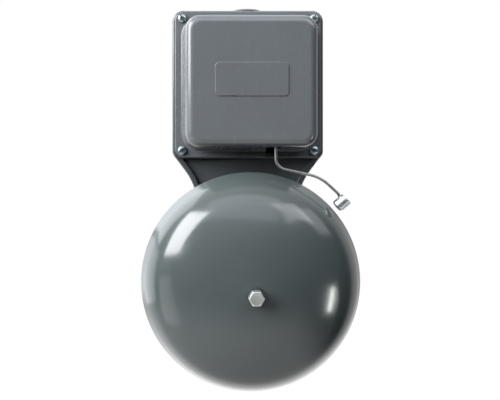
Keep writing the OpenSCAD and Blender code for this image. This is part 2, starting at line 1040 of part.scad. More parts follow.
module striker_hammer() {
    cut = hammer_l - hammer_crown;
    color(zinc)
        translate([hammer_at.x, -rod_depth, hammer_at.y])
            difference() {
                rotate([0, -90 - strike_angle, 0])
                    translate([0, 0, hammer_front - hammer_l]) {
                        cylinder(h = 1, d1 = hammer_d - 1.6, d2 = hammer_d);
                        translate([0, 0, 1])
                            cylinder(h = cut - 1, d = hammer_d);
                        translate([0, 0, cut])
                            cylinder(h = hammer_crown, d1 = hammer_d, d2 = 4.4);
                    }
                rotate([0, atan2(rod_back.x, rod_back.y), 0])
                    translate([0, 0, -0.1])
                        cylinder(h = hammer_d, d = rod_d + fit);
            }
}

// ======== terminals and leads ========

module terminal_block() {
    color(phenolic)
        difference() {
            union() {
                block(span(block_x, block_w), [back_wall, terminal_seat], span(0, block_h));
                for (z = [-16, 0, 16])
                    block(span(block_x, block_w), [back_wall, terminal_seat + rib_h], span(z, rib_t));
            }
            for (z = terminal_z)
                forward(block_x, z, back_wall + 1)
                    cylinder(h = block_t, d = 3);
            for (z = block_screw_z)
                forward(block_x, z, back_wall - 1)
                    cylinder(h = block_t + 2, d = 2.8);
        }
}

module terminal_plates() {
    color(brass)
        for (z = terminal_z)
            difference() {
                block(span(block_x, 10), [terminal_seat, terminal_seat + 0.8], span(z, 8));
                forward(block_x, z, terminal_seat - 1)
                    cylinder(h = 3, d = 3 + fit);
            }
}

module terminal_screws() {
    color(brass)
        for (z = terminal_z)
            forward(block_x, z, terminal_seat + 0.8)
                pan_screw(6, 2, 3 - fit, 7);
}

module block_screws() {
    color(zinc)
        for (z = block_screw_z)
            forward(block_x, z, terminal_seat)
                pan_screw(4.6, 1.8, 2.4 - fit, block_t + 1.5);
}

// From the upper terminal, over the top of the yoke, to the upper winding
module coil_lead() {
    color(red_pvc)
        tube(smooth([
            [-37.2, -13.6, 8], [-35, -13.9, 8.8], [-33.2, -15, 12.5], [-33, -19, 21],
            [-31.5, -26, 28.5], [-27, -31.5, 31], [-21, -36, 29.5], [-18, -39.4, 25.4]
        ], 4), lead_d, [1, 0.2, -0.6]);
}

// Between the two windings, behind them
module coil_link() {
    color(red_pvc)
        tube(smooth([
            [-16, -36.8, 5.1], [-15, -35.4, 2], [-14, -35.4, -2], [-13, -36.8, -5.1]
        ], 4), lead_d, [1, 0, 0]);
}

// From the lower winding to a plate screw, which joins it to the frame
module frame_lead() {
    color(phenolic)
        tube(smooth([
            [0, -32.2, -14.5], [1, -27, -16], [5, -20, -20],
            [13, -14, -23], [20, -11.4, -22.5], [24.1, -11, -21]
        ], 4), lead_d, [0, 0, 1]);
}

// From the fixed contact, under the yoke, to the lower terminal
module contact_lead() {
    color(phenolic)
        tube(smooth([
            [17.7, -13.9, -11.5], [14, -14, -17], [6, -13.4, -25], [-6, -12.8, -29.5], [-20, -12.8, -31],
            [-30, -13, -28.5], [-33, -13.4, -21], [-33.3, -13.6, -13], [-35, -13.6, -9], [-37.2, -13.6, -8]
        ], 4), lead_d, [0, 1, 0]);
}

base_housing();
cover();
cover_screws();
gong();
gong_post();
post_screw();
seat_washer();
gong_washer();
lock_washer();
gong_bolt();
mechanism_plate();
plate_screws();
magnet_yoke();
yoke_screws();
upper_core();
lower_core();
core_screws();
upper_bobbin();
lower_bobbin();
upper_winding();
lower_winding();
pivot_bracket();
pivot_bracket_screws();
pivot_pin();
pin_clips();
armature();
contact_blade();
blade_rivets();
moving_contact();
contact_bracket();
contact_insulator();
contact_bracket_screws();
contact_screw();
contact_lock_nut();
spring_bracket();
spring_bracket_screws();
spring_adjuster();
return_spring();
rod_clamp();
clamp_screws();
striker_rod();
striker_hammer();
terminal_block();
terminal_plates();
terminal_screws();
block_screws();
coil_lead();
coil_link();
frame_lead();
contact_lead();
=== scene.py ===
"""Looks of the vibrating fire alarm bell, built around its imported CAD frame.

The shapes are worked out in millimetres from the boxes of the CAD nodes, as (x, depth, z), where
depth is the distance forward from the wall. at() turns such a point into the part's frame, in metres."""

import json
import math

import bmesh
import bpy
from mathutils import Matrix, Vector


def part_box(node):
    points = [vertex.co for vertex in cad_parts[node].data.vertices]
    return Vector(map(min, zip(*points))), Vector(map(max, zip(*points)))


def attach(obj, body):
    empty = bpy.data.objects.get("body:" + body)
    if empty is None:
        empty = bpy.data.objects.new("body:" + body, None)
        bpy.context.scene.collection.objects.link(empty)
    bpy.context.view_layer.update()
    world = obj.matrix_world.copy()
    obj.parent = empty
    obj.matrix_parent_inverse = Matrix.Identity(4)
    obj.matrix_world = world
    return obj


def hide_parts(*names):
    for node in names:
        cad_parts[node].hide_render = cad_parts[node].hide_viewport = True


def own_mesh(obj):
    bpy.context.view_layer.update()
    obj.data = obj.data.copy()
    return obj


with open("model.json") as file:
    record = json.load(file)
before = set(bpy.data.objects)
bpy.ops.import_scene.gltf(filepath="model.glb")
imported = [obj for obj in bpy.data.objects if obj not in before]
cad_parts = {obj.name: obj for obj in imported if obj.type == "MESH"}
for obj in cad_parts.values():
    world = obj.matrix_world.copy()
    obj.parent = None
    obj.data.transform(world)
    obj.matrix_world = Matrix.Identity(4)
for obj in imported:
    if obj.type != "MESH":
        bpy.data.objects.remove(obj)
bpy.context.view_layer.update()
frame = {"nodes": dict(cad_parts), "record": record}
MM = 0.001
SLOT_OF = {p["node"]: p["material_slot"] for p in frame["record"]["subparts"]}
BODY_OF = {
    node: body
    for body, nodes in frame["record"]["behaviour"]["bodies"].items()
    for node in nodes
}


class Box:
    """The limits of a CAD node in millimetres."""

    def __init__(self, node):
        lo, hi = (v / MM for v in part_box(node))
        self.x0 = lo.x
        self.z0, self.z1 = lo.z, hi.z
        self.back, self.front = -hi.y, -lo.y
        self.x, self.z = (lo.x + hi.x) / 2, (lo.z + hi.z) / 2
        self.depth = (self.back + self.front) / 2
        self.w, self.h = hi.x - lo.x, hi.z - lo.z


def at(x, depth, z):
    return Vector((x, -depth, z)) * MM


# ======== mesh helpers ========


def to_object(name, bm):
    bmesh.ops.recalc_face_normals(bm, faces=bm.faces)
    mesh = bpy.data.meshes.new(name)
    bm.to_mesh(mesh)
    bm.free()
    obj = bpy.data.objects.new(name, mesh)
    bpy.context.scene.collection.objects.link(obj)
    return obj


def add_loft(bm, rings):
    """Joins loops of equal length in turn, and caps the first and the last."""
    loops = [[bm.verts.new(p) for p in ring] for ring in rings]
    n = len(loops[0])
    for a, b in zip(loops, loops[1:]):
        for i in range(n):
            j = (i + 1) % n
            bm.faces.new((a[i], a[j], b[j], b[i]))
    bm.faces.new(loops[0])
    bm.faces.new(loops[-1])


def loft(name, rings):
    bm = bmesh.new()
    add_loft(bm, rings)
    return to_object(name, bm)


def turned(place, r, a, h):
    """A point at a radius, an angle and a height about the local +Z of a placing matrix."""
    return (place @ Vector((r * math.cos(a), r * math.sin(a), h))) * MM


def add_lathe(bm, profile, place, steps):
    """A solid turned from (radius, height) pairs. A profile that starts and ends on the axis is
    closed by poles there, and any other profile is a loop that is closed on itself."""
    poled = profile[0][0] < 1e-6 and profile[-1][0] < 1e-6
    body = profile[1:-1] if poled else profile
    angles = [2 * math.pi * k / steps for k in range(steps)]
    columns = [[bm.verts.new(turned(place, r, a, h)) for r, h in body] for a in angles]
    m = len(body)
    for k in range(steps):
        a, b = columns[k], columns[(k + 1) % steps]
        for i in range(m if not poled else m - 1):
            j = (i + 1) % m
            bm.faces.new((a[i], b[i], b[j], a[j]))
    if poled:
        for end, h in ((0, profile[0][1]), (-1, profile[-1][1])):
            tip = bm.verts.new((place @ Vector((0, 0, h))) * MM)
            for k in range(steps):
                bm.faces.new((columns[k][end], columns[(k + 1) % steps][end], tip))


def lathe(name, profile, place, steps):
    bm = bmesh.new()
    add_lathe(bm, profile, place, steps)
    return to_object(name, bm)


def forward(x, z, depth):
    """Local +Z points out of the wall."""
    return Matrix.Translation((x, -depth, z)) @ Matrix.Rotation(math.pi / 2, 4, "X")


def rightward(x, z, depth):
    return Matrix.Translation((x, -depth, z)) @ Matrix.Rotation(math.pi / 2, 4, "Y")


def upward(x, z, depth):
    return Matrix.Translation((x, -depth, z))


def combine(base, tools, operation):
    """Applies boolean operations with each tool in turn, and deletes the tools."""
    for tool in tools:
        mod = base.modifiers.new("cut", "BOOLEAN")
        mod.operation = operation
        mod.solver = "MANIFOLD"
        mod.object = tool
    bake(base)
    for tool in tools:
        mesh = tool.data
        bpy.data.objects.remove(tool)
        bpy.data.meshes.remove(mesh)


def bake(obj):
    """Replaces the mesh by what its modifiers make of it."""
    bpy.context.view_layer.update()
    made = bpy.data.meshes.new_from_object(
        obj.evaluated_get(bpy.context.evaluated_depsgraph_get())
    )
    old = obj.data
    obj.modifiers.clear()
    obj.data = made
    bpy.data.meshes.remove(old)


def smooth(obj, angle):
    """Smooth shading that keeps corners above an angle and big flat faces flat."""
    bm = bmesh.new()
    bm.from_mesh(obj.data)
    bmesh.ops.remove_doubles(bm, verts=bm.verts, dist=0.004 * MM)
    bmesh.ops.dissolve_degenerate(bm, edges=bm.edges, dist=0.002 * MM)
    bm.to_mesh(obj.data)
    bm.free()
    obj.data.polygons.foreach_set("use_smooth", [True] * len(obj.data.polygons))
    obj.data.set_sharp_from_angle(angle=math.radians(angle))
    mod = obj.modifiers.new("normals", "WEIGHTED_NORMAL")
    mod.keep_sharp = True
    mod.weight = 80


def quarter(steps):
    """Angles from 0 to a right angle."""
    return [math.pi / 2 * i / steps for i in range(steps + 1)]


def arc(cx, cy, r, a0, a1, steps):
    """Points on an arc, in a plane of any two coordinates, angles in degrees."""
    out = []
    for i in range(steps + 1):
        a = math.radians(a0 + (a1 - a0) * i / steps)
        out.append((cx + r * math.cos(a), cy + r * math.sin(a)))
    return out


def prism(name, outline, stations):
    """A solid through one outline drawn at several (inset, depth) stations."""
    return loft(
        name, [[at(x, depth, z) for x, z in outline(inset)] for inset, depth in stations]
    )


def rounded(inset, depth, r, steps):
    """Stations of a rounded front edge that ends at a depth."""
    return [
        (inset + r * (1 - math.cos(a)), depth - r * (1 - math.sin(a))) for a in quarter(steps)
    ]


def rect_outline(w, h, r, x=0.0, z=0.0, steps=8):
    """A function of an inset that gives a rectangle with round corners."""

    def outline(inset):
        a, b = w / 2 - r, h / 2 - r
        q = max(r - inset, 0.05)
        grow = r - inset - q
        pts = []
        for sx, sz, start in ((1, 1, 0), (-1, 1, 90), (-1, -1, 180), (1, -1, 270)):
            cx, cz = x + sx * (a + grow), z + sz * (b + grow)
            pts += arc(cx, cz, q, start, start + 90, steps)
        return pts

    return outline


def mirrored(right):
    """A closed outline from its right-hand half, which runs from top to bottom."""
    left = [(-x, z) for x, z in reversed(right) if x > 1e-6]
    return right + left


def tube(name, points, d, side, sides=14):
    """A round tube along points in metres, with flat ends."""
    rings, side = [], Vector(side)
    turn = 2 * math.pi / sides
    last = len(points) - 1
    for i, p in enumerate(points):
        t = (points[min(i + 1, last)] - points[max(i - 1, 0)]).normalized()
        u = t.cross(side).normalized()
        v = t.cross(u)
        rings.append(
            [p + d / 2 * MM * (math.cos(turn * k) * u + math.sin(turn * k) * v) for k in range(sides)]
        )
    return loft(name, rings)


def catmull(points, steps):
    """Smooth points through given ones."""
    out = []
    for i in range(len(points) - 1):
        a, b = points[max(i - 1, 0)], points[i]
        c, d = points[i + 1], points[min(i + 2, len(points) - 1)]
        for s in range(steps):
            t = s / steps
            out.append(
                0.5
                * (
                    2 * b
                    + (c - a) * t
                    + (2 * a - 5 * b + 4 * c - d) * t * t
                    + (3 * b - a - 3 * c + d) * t**3
                )
            )
    return out + [points[-1]]


# ======== materials ========


class Nodes:
    """A Principled material whose pattern is fixed to the piece, in metres."""

    def __init__(self, name, **constants):
        self.mat = bpy.data.materials.new(name)
        self.mat.use_nodes = True
        self.tree = self.mat.node_tree
        self.shader = self.tree.nodes["Principled BSDF"]
        self.coords = self.tree.nodes.new("ShaderNodeTexCoord").outputs["Object"]
        self.bumped = None
        for key, value in constants.items():
            self.shader.inputs[key.replace("_", " ")].default_value = value

    def link(self, a, b):
        self.tree.links.new(a, b)

    def stretch(self, scale):
        node = self.tree.nodes.new("ShaderNodeMapping")
        node.inputs["Scale"].default_value = scale
        self.link(self.coords, node.inputs["Vector"])
        return node.outputs["Vector"]

    def noise(self, scale, detail=3.0, rough=0.55, vector=None):
        node = self.tree.nodes.new("ShaderNodeTexNoise")
        node.inputs["Scale"].default_value = scale
        node.inputs["Detail"].default_value = detail
        node.inputs["Roughness"].default_value = rough
        self.link(vector or self.coords, node.inputs["Vector"])
        return node.outputs["Fac"]

    def ramp(self, value, stops):
        node = self.tree.nodes.new("ShaderNodeValToRGB")
        ramp = node.color_ramp
        while len(ramp.elements) < len(stops):
            ramp.elements.new(0.5)
        for element, (place, colour) in zip(ramp.elements, stops):
            element.position = place
            element.color = (*colour, 1)
        self.link(value, node.inputs["Fac"])
        return node.outputs["Color"]

    def remap(self, value, low, high):
        """Spreads the usual range of a noise over a new range."""
        node = self.tree.nodes.new("ShaderNodeMapRange")
        node.inputs["From Min"].default_value = 0.3
        node.inputs["From Max"].default_value = 0.7
        node.inputs["To Min"].default_value = low
        node.inputs["To Max"].default_value = high
        self.link(value, node.inputs["Value"])
        return node.outputs["Result"]

    def bump(self, height, strength, distance_mm):
        node = self.tree.nodes.new("ShaderNodeBump")
        node.inputs["Strength"].default_value = strength
        node.inputs["Distance"].default_value = distance_mm * MM
        self.link(height, node.inputs["Height"])
        if self.bumped is not None:
            self.link(self.bumped, node.inputs["Normal"])
        self.bumped = node.outputs["Normal"]

    def done(self, colour, roughness=None):
        self.link(colour, self.shader.inputs["Base Color"])
        if roughness is not None:
            self.link(roughness, self.shader.inputs["Roughness"])
        if self.bumped is not None:
            self.link(self.bumped, self.shader.inputs["Normal"])
        return self.mat


def enamel(name, peel, grain, gloss, dark):
    """Stoved grey enamel: a faint orange peel over pressed metal, or over a cast skin."""
    m = Nodes(name, IOR=1.52, Coat_Weight=0.35, Coat_Roughness=0.12)
    tone = m.noise(38, 4, 0.6)
    light = tuple(1.07 * v for v in dark)
    colour = m.ramp(tone, [(0.3, dark), (0.7, light)])
    rough = m.remap(m.noise(210, 3, 0.6), gloss - 0.01, gloss + 0.02)
    m.bump(m.noise(620, 2, 0.5), peel, 0.12)
    if grain:
        m.bump(m.noise(1500, 3, 0.6), grain, 0.08)
    return m.done(colour, rough)


def plated(name, dark, light, rough_low, rough_high, scratch=0.05):
    """Bright plated steel with brushed streaks and small dull blotches."""
    m = Nodes(name, Metallic=1.0)
    blotch = m.noise(420, 4, 0.65)
    streaks = m.noise(260, 3, 0.6, m.stretch((1, 14, 14)))
    m.bump(streaks, scratch, 0.02)
    m.bump(m.noise(2600, 2, 0.5), 0.12, 0.02)
    return m.done(
        m.ramp(blotch, [(0.32, dark), (0.68, light)]),
        m.remap(blotch, rough_high, rough_low),
    )


def moulded(name, dark, light, scale, rough):
    """Moulded insulation or cable covering with a mottled colour."""
    m = Nodes(name)
    mottle = m.noise(scale, 5, 0.7)
    m.bump(m.noise(scale * 3, 3, 0.5), 0.15, 0.05)
    return m.done(
        m.ramp(mottle, [(0.35, dark), (0.65, light)]), m.remap(mottle, rough - 0.06, rough + 0.08)
    )


def laid(name, dark, light, rough):
    """Vulcanised fibre, with its paper layers lying across the depth."""
    m = Nodes(name)
    fibres = m.noise(300, 5, 0.75, m.stretch((1, 9, 1)))
    m.bump(fibres, 0.3, 0.05)
    return m.done(m.ramp(fibres, [(0.3, dark), (0.7, light)]), m.remap(fibres, rough, rough + 0.2))


def wound(name):
    """Enamelled copper wire under a clear varnish."""
    m = Nodes(name, Metallic=0.75, Coat_Weight=0.6, Coat_Roughness=0.15)
    tone = m.noise(520, 4, 0.6, m.stretch((6, 1, 1)))
    return m.done(
        m.ramp(tone, [(0.3, (0.30, 0.075, 0.025)), (0.7, (0.52, 0.17, 0.06))]),
        m.remap(tone, 0.42, 0.28),
    )


MATERIALS = {
    # The washers under the gong bolt are plated in a dark colour.
    "washer": plated("dark_washer", (0.11, 0.125, 0.125), (0.19, 0.21, 0.21), 0.38, 0.55),
    "bolt": plated("bolt_zinc", (0.62, 0.66, 0.65), (0.80, 0.84, 0.82), 0.40, 0.54),
    "wire": plated("striker_wire", (0.26, 0.265, 0.26), (0.42, 0.425, 0.41), 0.34, 0.48),
    "screw": plated("screw_zinc", (0.30, 0.37, 0.39), (0.46, 0.54, 0.56), 0.26, 0.42),
    "grey_enamel": enamel("cast_enamel", 0.05, 0.02, 0.24, (0.080, 0.088, 0.092)),
    # The cover gets a lighter copy of the same grey paint as the housing and gong: painted light for the
    # extra light on its face.
    "lit_cover_enamel": enamel("lit_cover_enamel", 0.03, 0.0, 0.26, (0.150, 0.161, 0.172)),
    "gong_enamel": enamel("gong_enamel", 0.06, 0.0, 0.17, (0.083, 0.100, 0.100)),
    "zinc": plated("zinc_plate", (0.60, 0.64, 0.65), (0.82, 0.86, 0.87), 0.30, 0.46),
    "bare_steel": plated("bare_steel", (0.26, 0.26, 0.27), (0.46, 0.46, 0.47), 0.30, 0.50, 0.4),
    "brass": plated("brass", (0.55, 0.36, 0.12), (0.78, 0.58, 0.25), 0.22, 0.40),
    "bronze": plated("spring_bronze", (0.46, 0.24, 0.10), (0.66, 0.38, 0.18), 0.25, 0.42),
    "winding": wound("enamelled_wire"),
    "phenolic": moulded("phenolic", (0.012, 0.011, 0.012), (0.030, 0.027, 0.027), 700, 0.42),
    "fibre": laid("red_fibre", (0.10, 0.020, 0.014), (0.22, 0.050, 0.030), 0.55),
    "red_lead": moulded("red_pvc", (0.30, 0.012, 0.010), (0.42, 0.025, 0.018), 240, 0.36),
    "black_lead": moulded("black_pvc", (0.010, 0.010, 0.011), (0.022, 0.022, 0.024), 240, 0.36),
}


def finish_piece(obj, node, material=None, angle=32, weighted=True):
    """A made piece stands for its CAD node: it rides on that node's body, with its slot's material
    unless another is given.
    """
    if weighted:
        smooth(obj, angle)
    else:
        obj.data.polygons.foreach_set("use_smooth", [True] * len(obj.data.polygons))
    obj.data.materials.clear()
    obj.data.materials.append(MATERIALS[material or SLOT_OF[node]])
    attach(obj, BODY_OF[node])
    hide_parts(node)
    return obj


# ======== base housing ========

base = Box("base_housing")
cover = Box("cover")
gong = Box("gong")
HALF_W = base.w / 2
RIM = base.front
TOP, BOTTOM = 54.5, -54.5
HUB_H = base.z1 - TOP
HUB_R, HUB_TAPER = 12.2, 2
BORE_R, THREAD_R, THREAD_PITCH = 9.1, 9.75, 1.81
GONG_Z = gong.z
BOX_CORNER = 8
SIDE_WALL, BACK_WALL = 4, 3
BEND_R, BEND_Z = 6, -49
SHOULDER, ARM = 37, 12
SHOULDER_LEN, FLARE_R = 12.8, 50
LIP_DEPTH, LIP_W = 24.5, 4
NECK_FACE, NECK_SKIN, NECK_WALL = 21.5, 3, 3
WALL_PITCH, WALL_HOLE = 78, 5.2
FOOT_Z, FOOT_TUBE_D = GONG_Z - 18, 11
BOSS_R, BOSS_FOOT_R, BOSS_FACE = 13, 14.2, 24
COVER_PITCH, COVER_BOSS_D, COVER_TAP_D = 96.4, 10, 3.3
PLATE_HOLES = [(-27, 34), (28, 34), (-8, -21), (28, -21)]
PLATE_PAD_D, PLATE_TAP_D, PLATE_TAP_DEPTH = 10, 2.9, 9


def direction(a):
    return Vector((math.cos(math.radians(a)), math.sin(math.radians(a))))


bend_c = Vector((HALF_W - BEND_R, BEND_Z))
shoulder_dir = -direction(90 - SHOULDER)
shoulder_top = bend_c + BEND_R * direction(-SHOULDER)
shoulder_end = shoulder_top + SHOULDER_LEN * shoulder_dir
flare_c = shoulder_end + FLARE_R * direction(-SHOULDER)
flare_end = flare_c + FLARE_R * direction(180 - ARM)
foot_r = flare_end.x * math.cos(math.radians(ARM)) - (flare_end.y - GONG_Z) * math.sin(
    math.radians(ARM)
)


def shoulder_at(inset, z):
    """Point of the straight shoulder, moved inward by an inset, at a height."""
    start = bend_c + (BEND_R - inset) * direction(-SHOULDER)
    return start + shoulder_dir * ((z - start.y) / shoulder_dir.y)


def box_outline(inset):
    corner = arc(
        HALF_W - BOX_CORNER, TOP - BOX_CORNER, BOX_CORNER - inset, 90, 0, 10
    )
    bend = arc(bend_c.x, bend_c.y, BEND_R - inset, 0, -SHOULDER, 6)
    return mirrored(corner + bend + [tuple(shoulder_at(inset, BOTTOM + inset))])


def neck_outline(top):
    def outline(inset):
        flare = arc(flare_c.x, flare_c.y, FLARE_R + inset, 180 - SHOULDER, 180 - ARM, 16)
        foot = arc(0, GONG_Z, foot_r - inset, -ARM, -90, 22)
        foot[-1] = (0, foot[-1][1])
        return mirrored([tuple(shoulder_at(inset, top))] + flare + foot)

    return outline


def drill(name, x, z, d, d0, d1):
    return lathe(name, [(0, d0), (d / 2, d0), (d / 2, d1), (0, d1)], forward(x, z, 0), 40)


def drills(name, places, d, d0, d1):
    return [drill("%s%d" % (name, i), x, z, d, d0, d1) for i, (x, z) in enumerate(places)]


def on_square(pitch):
    return [(sx * pitch / 2, sz * pitch / 2) for sx in (-1, 1) for sz in (-1, 1)]


def make_hub():
    """The tapered conduit hub, with a fillet where it meets the top wall."""
    tip_r = HUB_R - HUB_TAPER
    profile = [(0, -1.5), (HUB_R + 0.6, -1.5), (HUB_R + 0.6, 0), (HUB_R + 0.18, 0.15), (HUB_R, 0.5)]
    profile += [(HUB_R - 0.35, 0.85), (tip_r + 0.25, HUB_H - 0.12), (tip_r - 0.1, HUB_H), (0, HUB_H)]
    return lathe("hub", profile, upward(0, TOP, RIM / 2), 72)


def hub_bore():
    """The threaded hole through the hub and the top wall, with a chamfered mouth."""
    bore = [(0, -SIDE_WALL - 1), (BORE_R, -SIDE_WALL - 1)]
    h = -SIDE_WALL + 0.2
    while h < HUB_H - 1.8:
        bore += [(BORE_R, h), (THREAD_R, h + 0.75), (THREAD_R, h + 1.0), (BORE_R, h + 1.75)]
        h += THREAD_PITCH
    mouth_r = BORE_R + 0.8
    bore += [(BORE_R, HUB_H - 0.7), (mouth_r, HUB_H + 0.1), (mouth_r, HUB_H + 1), (0, HUB_H + 1)]
    return lathe("bore", bore, upward(0, TOP, RIM / 2), 64)


def gong_boss():
    """The boss under the gong post, in front of the neck's skin and behind it."""
    front = [(0, NECK_FACE - 1), (BOSS_FOOT_R, NECK_FACE - 1), (BOSS_FOOT_R, NECK_FACE)]
    front += [(BOSS_R + 0.4, NECK_FACE + 0.3), (BOSS_R, NECK_FACE + 1.2), (BOSS_R, BOSS_FACE - 0.6)]
    front += [(BOSS_R - 0.6, BOSS_FACE), (0, BOSS_FACE)]
    back = [(0, 0), (BOSS_R, 0), (BOSS_R, NECK_FACE), (0, NECK_FACE)]
    place = forward(0, GONG_Z, 0)
    return [lathe("island", front, place, 72), lathe("boss_back", back, place, 72)]


def post_hole():
    """The stepped hole for the gong post's screw, with its recess in the back."""
    profile = [(0, -1), (6, -1), (6, 12), (2.6, 12), (2.6, BOSS_FACE + 1), (0, BOSS_FACE + 1)]
    return lathe("post_hole", profile, forward(0, GONG_Z, 0), 48)


def make_housing():
    body = prism("Base_housing", box_outline, [(0.5, 0), (0, 0.5)] + rounded(0, RIM, 1.9, 6))
    neck = prism(
        "neck", neck_outline(BOTTOM + 1), [(0.4, 0), (0, 0.4)] + rounded(0, LIP_DEPTH, 1.2, 5)
    )
    combine(body, [neck, make_hub()], "UNION")
    cavity = prism(
        "cavity",
        rect_outline(base.w - 2 * SIDE_WALL, 2 * (TOP - SIDE_WALL), BOX_CORNER - SIDE_WALL + 1),
        [(1.2, BACK_WALL), (0.35, BACK_WALL + 0.35), (0, BACK_WALL + 1.2), (0, RIM + 1)],
    )
    recess = prism(
        "recess",
        neck_outline(BOTTOM),
        [(LIP_W + 1.2, NECK_FACE), (LIP_W + 0.35, NECK_FACE + 0.35), (LIP_W, NECK_FACE + 1.2)]
        + [(LIP_W, LIP_DEPTH - 0.9), (LIP_W - 0.3, LIP_DEPTH - 0.3)]
        + [(LIP_W - 1.1, LIP_DEPTH + 0.05), (LIP_W - 1.1, RIM + 1)],
    )
    hollow = prism(
        "hollow",
        neck_outline(BOTTOM),
        [(NECK_WALL, -1), (NECK_WALL, NECK_FACE - NECK_SKIN - 1)]
        + [(NECK_WALL + 1, NECK_FACE - NECK_SKIN)],
    )
    combine(body, [cavity, recess, hollow], "DIFFERENCE")
    bosses = gong_boss() + [drill("screw_tube", 0, FOOT_Z, FOOT_TUBE_D, 0, NECK_FACE - 1)]
    bosses += drills("boss", on_square(COVER_PITCH), COVER_BOSS_D, BACK_WALL - 1, RIM - 0.02)
    bosses += drills("pad", PLATE_HOLES, PLATE_PAD_D, BACK_WALL - 1, Box("mechanism_plate").back)
    combine(body, bosses, "UNION")
    holes = drills("hole", on_square(WALL_PITCH), WALL_HOLE, -1, BACK_WALL + 1)
    holes += drills("tap", on_square(COVER_PITCH), COVER_TAP_D, BACK_WALL + 6, RIM + 1)
    holes += drills("plate_tap", PLATE_HOLES, PLATE_TAP_D, BACK_WALL - 1, PLATE_TAP_DEPTH)
    holes += [drill("foot_hole", 0, FOOT_Z, WALL_HOLE, -1, RIM), post_hole(), hub_bore()]
    combine(body, holes, "DIFFERENCE")
    finish_piece(body, "base_housing")


make_housing()

# ======== cover ========

FLANGE_T, FLANGE_CORNER, FLANGE_EDGE = 2, 7, 0.8
COVER_WALL, WALL_FILLET = 2, 2.0
PAD_W, PAD_H, PAD_CORNER, PAD_RISE = 50, 23, 3, 0.5
FACE_DEPTH = cover.front - PAD_RISE
EDGE_R = 6
WALL_FOOT, WALL_TOP = 47.6, 45.4
FOOT_CORNER, TOP_CORNER = 12, 9.9
rod = Box("striker_rod")
ROD_R = 1
ROD_X = rod.x0 + ROD_R
SLOT_X, SLOT_R, SLOT_H = ROD_X - 0.5, 4, 8
SCREW_HOLE_D = 4.6


def square_ring(half, r, depth):
    return [at(x, depth, z) for x, z in rect_outline(2 * half, 2 * half, r, steps=10)(0)]


def cover_outside():
    """Half width, corner radius and depth of each ring, from the flange's back to the face."""
    half, back = cover.w / 2, cover.back
    top, edge = back + FLANGE_T, FACE_DEPTH - EDGE_R
    r = FLANGE_EDGE
    out = [(half - 0.25, FLANGE_CORNER - 0.2, back), (half, FLANGE_CORNER, back + 0.25)]
    out.append((half, FLANGE_CORNER, top - r))
    for a in quarter(5)[1:]:
        s = r * (1 - math.cos(a))
        out.append((half - s, FLANGE_CORNER - s, top - r + r * math.sin(a)))
    for a in quarter(6):
        h = WALL_FOOT - 0.1 + WALL_FILLET * (1 - math.sin(a))
        out.append((h, FOOT_CORNER + h - WALL_FOOT, top + WALL_FILLET * (1 - math.cos(a))))
    out.append(((WALL_FOOT + WALL_TOP) / 2, TOP_CORNER + 1, (top + edge) / 2))
    for a in quarter(12):
        s = 1 - math.cos(a)
        out.append((WALL_TOP - EDGE_R * s, TOP_CORNER - 4.2 * s, edge + EDGE_R * math.sin(a)))
    return out


def cover_inside():
    """The same for the hollow, from behind the face to the open back."""
    r, edge = EDGE_R - COVER_WALL, FACE_DEPTH - EDGE_R
    corner = TOP_CORNER - COVER_WALL
    out = []
    for a in reversed(quarter(8)):
        s = 1 - math.cos(a)
        out.append((WALL_TOP - COVER_WALL - r * s, corner - 3.6 * s, edge + r * math.sin(a)))
    return out + [(WALL_FOOT - COVER_WALL, FOOT_CORNER - COVER_WALL, cover.back)]


def nameplate_pad():
    return prism(
        "pad",
        rect_outline(PAD_W, PAD_H, PAD_CORNER, 0, 1),
        [(0.9, FACE_DEPTH - 0.6), (-0.25, FACE_DEPTH - 0.3), (0, FACE_DEPTH + 0.1)]
        + rounded(0, FACE_DEPTH + PAD_RISE, 0.35, 4),
    )


def wire_slot():
    """The notch in the bottom wall and flange that the striker wire passes through."""
    foot = cover.back - 1
    u_shape = [(SLOT_X + SLOT_R, foot), (SLOT_X + SLOT_R, rod.depth)]
    u_shape += arc(SLOT_X, rod.depth, SLOT_R, 0, 180, 16)[1:-1]
    u_shape += [(SLOT_X - SLOT_R, rod.depth), (SLOT_X - SLOT_R, foot)]
    return loft("slot", [[at(x, d, z) for x, d in u_shape] for z in (-70, SLOT_H - WALL_FOOT)])


def make_cover():
    body = loft("Cover", [square_ring(*ring) for ring in cover_inside() + cover_outside()])
    combine(body, [nameplate_pad()], "UNION")
    ends = (cover.back - 1, cover.back + FLANGE_T + 1)
    holes = drills("screw_hole", on_square(COVER_PITCH), SCREW_HOLE_D, *ends)
    combine(body, [wire_slot()] + holes, "DIFFERENCE")
    # The cover wears the lighter copy of the grey enamel, which paints in light on its face.
    finish_piece(body, "cover", "lit_cover_enamel", 28)


make_cover()


def add_screw(bm, place, head, head_h, shank, length):
    """A pan head with a rolled edge on a plain shank, along local +Z."""
    r = head / 2
    profile = [(0, -length), (shank * 0.35, -length), (shank / 2, -length + 0.5)]
    profile += [(shank / 2, -0.02), (r - 0.12, 0), (r, 0.15), (r, head_h * 0.45)]
    for a in quarter(9)[1:-1]:
        narrowing = (1 - 0.45 * (1 - math.cos(a))) * math.cos(a * 0.62)
        profile.append((r * narrowing, head_h * (0.45 + 0.55 * math.sin(a))))
    profile.append((0, head_h))
    add_lathe(bm, profile, place, 40)


def slotted(name, places, head, head_h, shank, length, angles):
    """Several alike screws in one piece, each with its slot turned its own way."""
    half = 0.95 / 2
    bm = bmesh.new()
    for place in places:
        add_screw(bm, place, head, head_h, shank, length)
    body = to_object(name, bm)
    cutters = bmesh.new()
    for place, angle in zip(places, angles):
        turn = place @ Matrix.Rotation(math.radians(angle), 4, "Z")
        rings = []
        for z in (head_h * 0.5, head_h + 1):
            corners = [(-head, -half), (head, -half), (head, half), (-head, half)]
            rings.append([(turn @ Vector((x, y, z))) * MM for x, y in corners])
        add_loft(cutters, rings)
    combine(body, [to_object("slots", cutters)], "DIFFERENCE")
    return body


